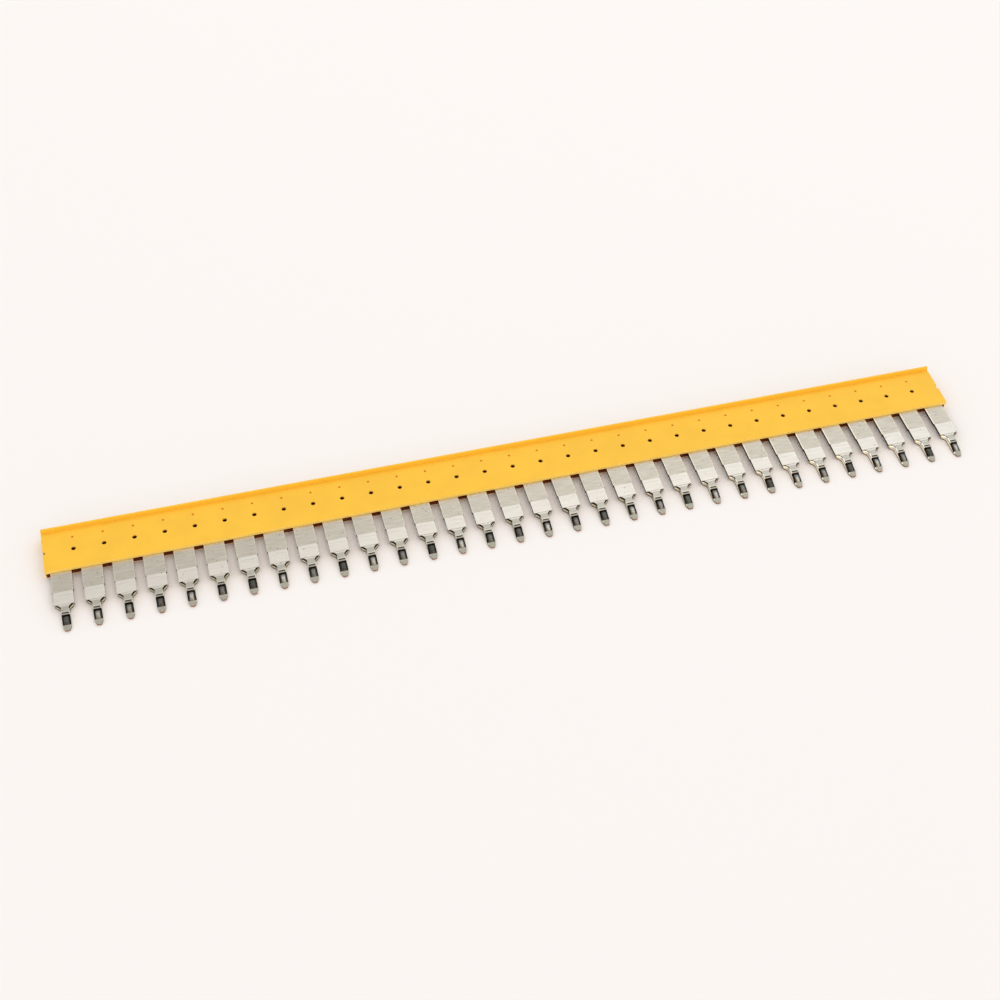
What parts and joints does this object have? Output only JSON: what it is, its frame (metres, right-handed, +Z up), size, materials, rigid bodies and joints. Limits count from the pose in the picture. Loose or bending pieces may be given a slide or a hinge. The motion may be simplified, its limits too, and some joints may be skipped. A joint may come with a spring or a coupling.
{
  "type": "terminal block jumper bar",
  "caption": "Long insulated comb jumper: a yellow moulded channel grips a stamped metal comb whose folded plug-in pins bridge a row of terminal blocks.",
  "frame": {"origin": "middle of the bar's own box in plan, on the face that it lies on", "axes": "+X along the row of poles, -Y the way the pins plug in, +Z up through the side with the holes"},
  "size_m": [0.2528, 0.0318, 0.004],
  "materials": {
    "housing_plastic": "yellow moulded nylon, satin, with a faint moulded texture",
    "tinned_copper": "tin-plated copper strip with fine crosswise scratches and dark sheared edges",
    "spring_steel": "dark polished spring strip"
  },
  "bodies": {
    "root": {"housing": "housing_plastic", "contact_comb": "tinned_copper", "contact_spring_01": "spring_steel", "contact_spring_02": "spring_steel", "contact_spring_03": "spring_steel", "contact_spring_04": "spring_steel", "contact_spring_05": "spring_steel", "contact_spring_06": "spring_steel", "contact_spring_07": "spring_steel", "contact_spring_08": "spring_steel", "contact_spring_09": "spring_steel", "contact_spring_10": "spring_steel", "contact_spring_11": "spring_steel", "contact_spring_12": "spring_steel", "contact_spring_13": "spring_steel", "contact_spring_14": "spring_steel", "contact_spring_15": "spring_steel", "contact_spring_16": "spring_steel", "contact_spring_17": "spring_steel", "contact_spring_18": "spring_steel", "contact_spring_19": "spring_steel", "contact_spring_20": "spring_steel", "contact_spring_21": "spring_steel", "contact_spring_22": "spring_steel", "contact_spring_23": "spring_steel", "contact_spring_24": "spring_steel", "contact_spring_25": "spring_steel", "contact_spring_26": "spring_steel", "contact_spring_27": "spring_steel", "contact_spring_28": "spring_steel", "contact_spring_29": "spring_steel", "contact_spring_30": "spring_steel", "contact_spring_31": "spring_steel", "contact_spring_32": "spring_steel"}
  },
  "joints": []
}
